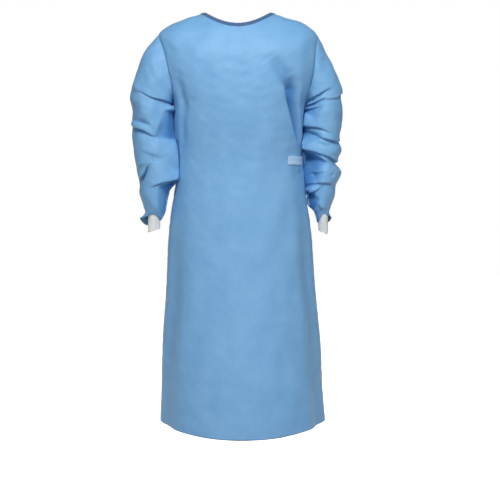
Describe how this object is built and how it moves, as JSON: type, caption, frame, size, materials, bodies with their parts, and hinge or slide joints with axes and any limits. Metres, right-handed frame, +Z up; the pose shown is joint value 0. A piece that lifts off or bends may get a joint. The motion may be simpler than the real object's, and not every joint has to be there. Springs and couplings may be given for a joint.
{
  "type": "surgical gown",
  "caption": "Long-sleeved wrap-back surgical gown in blue nonwoven cloth, in its worn form, with bound neck, knit cuffs and a belt tied behind the left side.",
  "frame": {"origin": "base of the neck, level with the tops of the neck opening and midway between the shoulders, where the wearer holds the gown up", "axes": "+Z up along the wearer, +X to the wearer's left, -Y the way the wearer faces"},
  "size_m": [0.6443, 0.3744, 1.2629],
  "materials": {
    "gown_cloth": "matt nonwoven with a faint sheen",
    "binding_cloth": "matt woven tape",
    "cuff_knit": "rib knit",
    "belt_cloth": "matt nonwoven with a faint sheen",
    "touch_tape": "short nap"
  },
  "bodies": {
    "root": {"front_panel": "gown_cloth", "back_panel_right": "gown_cloth", "back_panel_left": "gown_cloth", "sleeve_right": "gown_cloth", "sleeve_left": "gown_cloth", "cuff_right": "cuff_knit", "cuff_left": "cuff_knit", "neck_binding": "binding_cloth", "neck_tab_hook": "touch_tape", "neck_tab_loop": "touch_tape", "belt_front_tie": "belt_cloth", "belt_back_tie": "belt_cloth", "belt_knot": "belt_cloth", "belt_tail_front": "belt_cloth", "belt_tail_back": "belt_cloth"}
  },
  "joints": []
}
